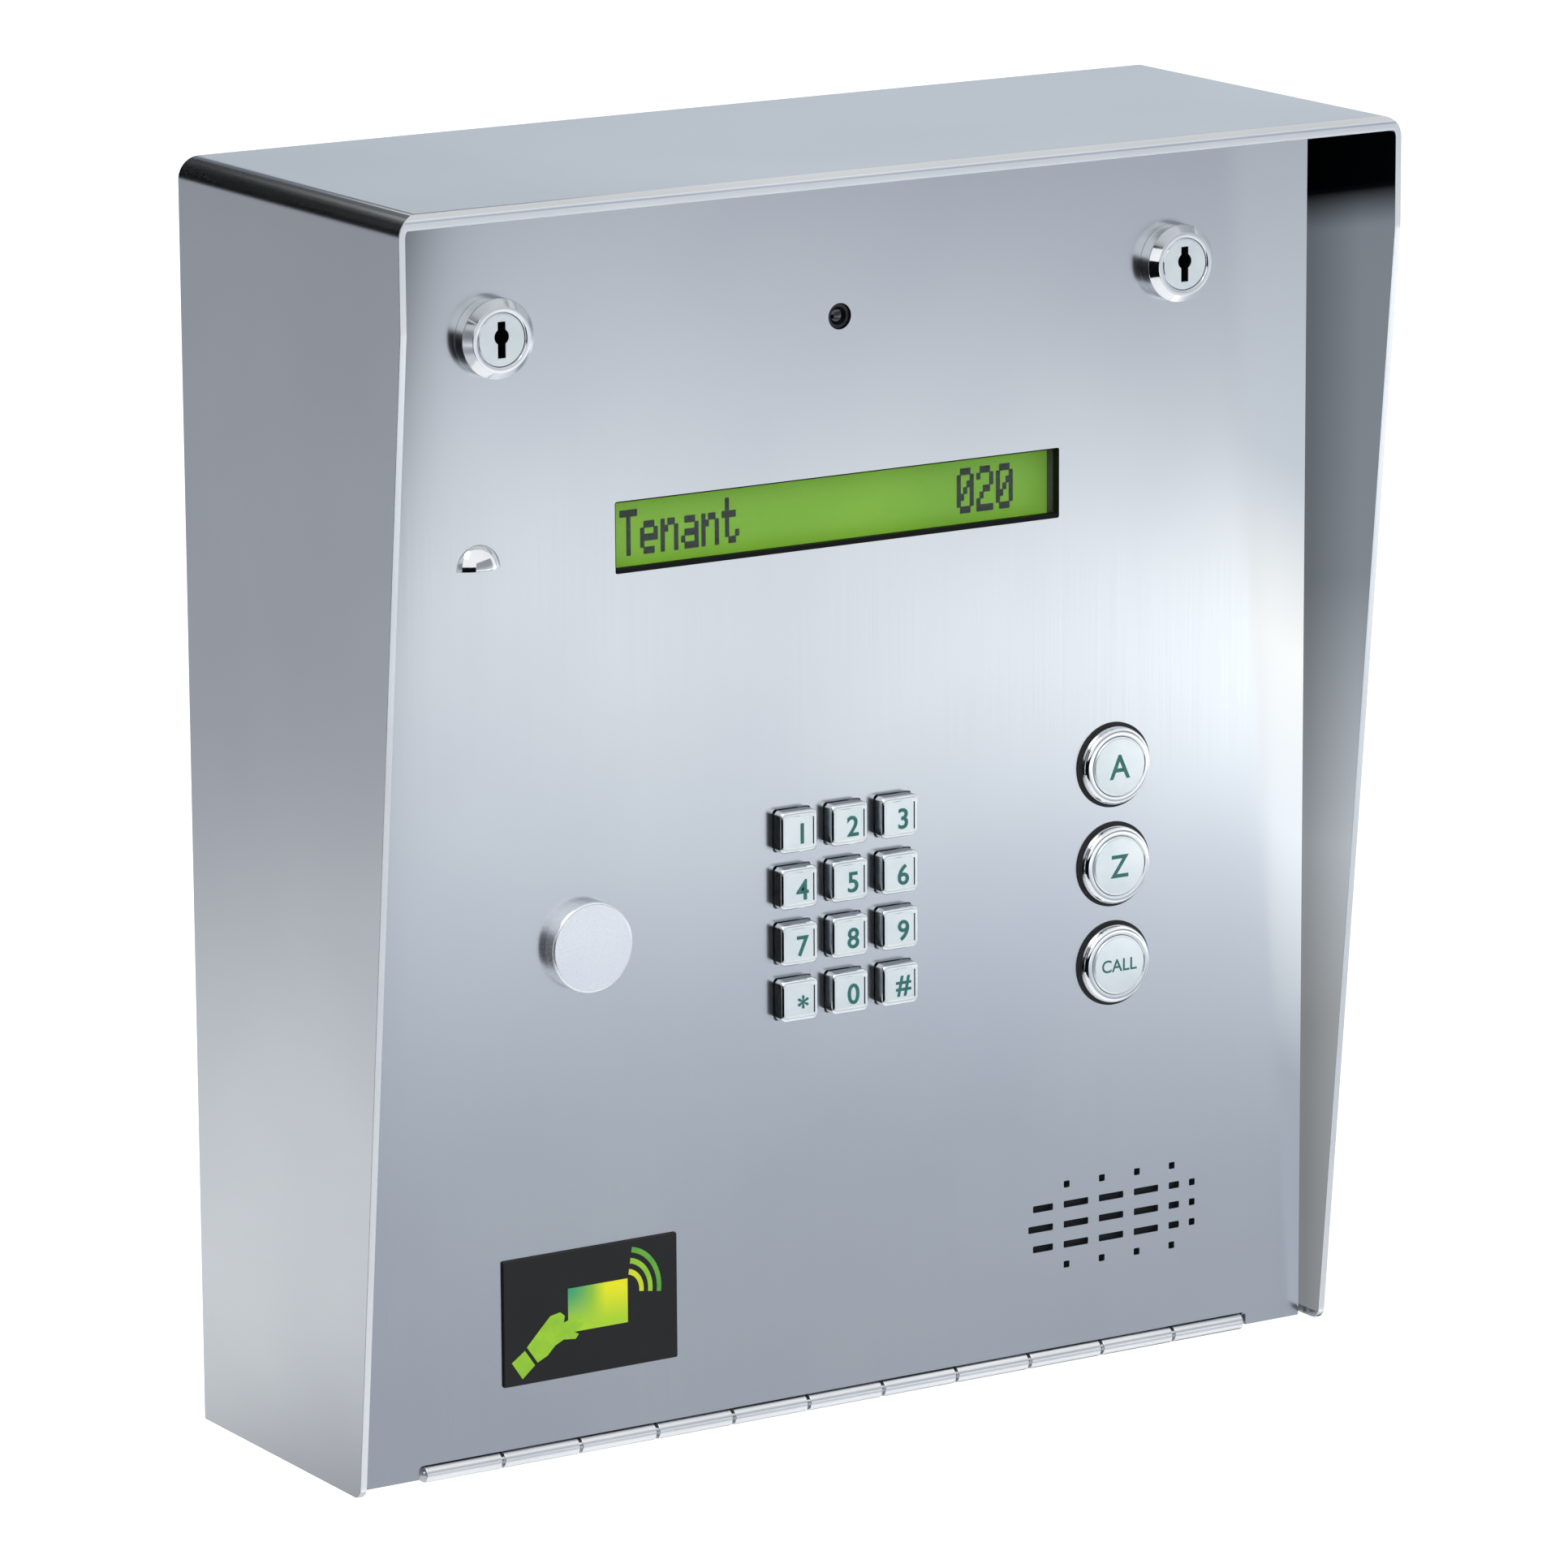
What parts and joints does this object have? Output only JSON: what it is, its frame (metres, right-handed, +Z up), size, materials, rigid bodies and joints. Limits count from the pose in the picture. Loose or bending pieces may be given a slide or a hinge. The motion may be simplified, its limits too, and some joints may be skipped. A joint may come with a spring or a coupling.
{
  "type": "telephone entry panel",
  "caption": "Wall-mounted stainless telephone entry panel with a rain hood, a drop-down locked door, keypad, round buttons, lit display, speaker and card reader.",
  "frame": {"origin": "centre of the four wall bolt holes, on the rear face of the back plate", "axes": "+X to the right as seen from the front, +Y into the wall, +Z up; the front faces -Y"},
  "size_m": [0.305, 0.1165, 0.3412],
  "materials": {
    "stainless_sheet": "satin brushed stainless",
    "inner_steel": "plain mill stainless",
    "hinge_steel": "bright stainless",
    "zinc_fixings": "zinc plated",
    "seal_rubber": "matt black",
    "chrome": "polished plating",
    "button_face": "pale satin",
    "cover_steel": "pale satin",
    "circuit_board": "green solder mask",
    "terminal_green": "moulded green",
    "black_plastic": "moulded black",
    "capacitor_can": "sleeved can",
    "nylon": "natural nylon",
    "display_clear": "clear sheet",
    "display_green": "backlit green",
    "silicone": "grey silicone",
    "reader_face": "smoked acrylic",
    "speaker_steel": "black coated",
    "speaker_cloth": "black woven",
    "ferrite": "sintered dark grey",
    "legend_green": "filled legend"
  },
  "bodies": {
    "housing": {"housing_shell": "stainless_sheet", "back_plate": "inner_steel", "bottom_panel": "inner_steel", "door_frame": "inner_steel", "door_gasket": "seal_rubber", "wiring_grommet": "seal_rubber", "earth_stud": "zinc_fixings", "hinge_body_leaf": "hinge_steel", "hinge_pin": "hinge_steel", "main_board": "circuit_board", "board_posts": "nylon", "terminal_blocks": "terminal_green", "relays": "black_plastic", "board_chips": "black_plastic", "board_capacitors": "capacitor_can"},
    "door": {"door_panel": "stainless_sheet", "door_studs": "zinc_fixings", "lock_bodies": "chrome", "lock_nuts": "zinc_fixings", "lock_cover": "cover_steel", "camera_module": "black_plastic", "microphone_hood": "chrome", "microphone_boot": "seal_rubber", "microphone": "speaker_steel", "display_window": "display_clear", "display_gasket": "black_plastic", "display_module": "display_green", "display_board": "circuit_board", "keypad_frame": "black_plastic", "keypad_mat": "silicone", "keypad_board": "circuit_board", "button_bodies": "chrome", "button_nuts": "zinc_fixings", "button_switches": "black_plastic", "speaker_screen": "speaker_cloth", "speaker_basket": "speaker_steel", "speaker_cone": "speaker_cloth", "speaker_magnet": "ferrite", "reader_window": "reader_face", "reader_module": "black_plastic", "hinge_door_leaf": "hinge_steel"},
    "lock_left": {"lock_plug_left": "chrome", "lock_cam_left": "zinc_fixings"},
    "lock_right": {"lock_plug_right": "chrome", "lock_cam_right": "zinc_fixings"},
    "key_1": {"key_1": "chrome"},
    "key_2": {"key_2": "chrome"},
    "key_3": {"key_3": "chrome"},
    "key_4": {"key_4": "chrome"},
    "key_5": {"key_5": "chrome"},
    "key_6": {"key_6": "chrome"},
    "key_7": {"key_7": "chrome"},
    "key_8": {"key_8": "chrome"},
    "key_9": {"key_9": "chrome"},
    "key_star": {"key_star": "chrome"},
    "key_0": {"key_0": "chrome"},
    "key_hash": {"key_hash": "chrome"},
    "button_a": {"button_a": "button_face"},
    "button_z": {"button_z": "button_face"},
    "button_call": {"button_call": "button_face"}
  },
  "joints": [
    {"name": "door_hinge", "type": "hinge", "parent": "housing", "child": "door", "pos_m": [0, -0.07755, -0.16895], "axis": [1, 0, 0], "range_deg": [0, 175]},
    {"name": "lock_left_turn", "type": "hinge", "parent": "door", "child": "lock_left", "pos_m": [-0.105, -0.0785, 0.1298], "axis": [0, -1, 0], "range_deg": [0, 90]},
    {"name": "lock_right_turn", "type": "hinge", "parent": "door", "child": "lock_right", "pos_m": [0.105, -0.0785, 0.1298], "axis": [0, 1, 0], "range_deg": [0, 90]},
    {"name": "key_1_press", "type": "slide", "parent": "door", "child": "key_1", "axis": [0, 1, 0], "range_m": [0, 0.0012], "stiffness_N_per_m": 900, "springref_m": -0.0006},
    {"name": "key_2_press", "type": "slide", "parent": "door", "child": "key_2", "axis": [0, 1, 0], "range_m": [0, 0.0012], "stiffness_N_per_m": 900, "springref_m": -0.0006},
    {"name": "key_3_press", "type": "slide", "parent": "door", "child": "key_3", "axis": [0, 1, 0], "range_m": [0, 0.0012], "stiffness_N_per_m": 900, "springref_m": -0.0006},
    {"name": "key_4_press", "type": "slide", "parent": "door", "child": "key_4", "axis": [0, 1, 0], "range_m": [0, 0.0012], "stiffness_N_per_m": 900, "springref_m": -0.0006},
    {"name": "key_5_press", "type": "slide", "parent": "door", "child": "key_5", "axis": [0, 1, 0], "range_m": [0, 0.0012], "stiffness_N_per_m": 900, "springref_m": -0.0006},
    {"name": "key_6_press", "type": "slide", "parent": "door", "child": "key_6", "axis": [0, 1, 0], "range_m": [0, 0.0012], "stiffness_N_per_m": 900, "springref_m": -0.0006},
    {"name": "key_7_press", "type": "slide", "parent": "door", "child": "key_7", "axis": [0, 1, 0], "range_m": [0, 0.0012], "stiffness_N_per_m": 900, "springref_m": -0.0006},
    {"name": "key_8_press", "type": "slide", "parent": "door", "child": "key_8", "axis": [0, 1, 0], "range_m": [0, 0.0012], "stiffness_N_per_m": 900, "springref_m": -0.0006},
    {"name": "key_9_press", "type": "slide", "parent": "door", "child": "key_9", "axis": [0, 1, 0], "range_m": [0, 0.0012], "stiffness_N_per_m": 900, "springref_m": -0.0006},
    {"name": "key_star_press", "type": "slide", "parent": "door", "child": "key_star", "axis": [0, 1, 0], "range_m": [0, 0.0012], "stiffness_N_per_m": 900, "springref_m": -0.0006},
    {"name": "key_0_press", "type": "slide", "parent": "door", "child": "key_0", "axis": [0, 1, 0], "range_m": [0, 0.0012], "stiffness_N_per_m": 900, "springref_m": -0.0006},
    {"name": "key_hash_press", "type": "slide", "parent": "door", "child": "key_hash", "axis": [0, 1, 0], "range_m": [0, 0.0012], "stiffness_N_per_m": 900, "springref_m": -0.0006},
    {"name": "button_a_press", "type": "slide", "parent": "door", "child": "button_a", "axis": [0, 1, 0], "range_m": [0, 0.0015], "stiffness_N_per_m": 900, "springref_m": -0.0008},
    {"name": "button_z_press", "type": "slide", "parent": "door", "child": "button_z", "axis": [0, 1, 0], "range_m": [0, 0.0015], "stiffness_N_per_m": 900, "springref_m": -0.0008},
    {"name": "button_call_press", "type": "slide", "parent": "door", "child": "button_call", "axis": [0, 1, 0], "range_m": [0, 0.0015], "stiffness_N_per_m": 900, "springref_m": -0.0008}
  ]
}
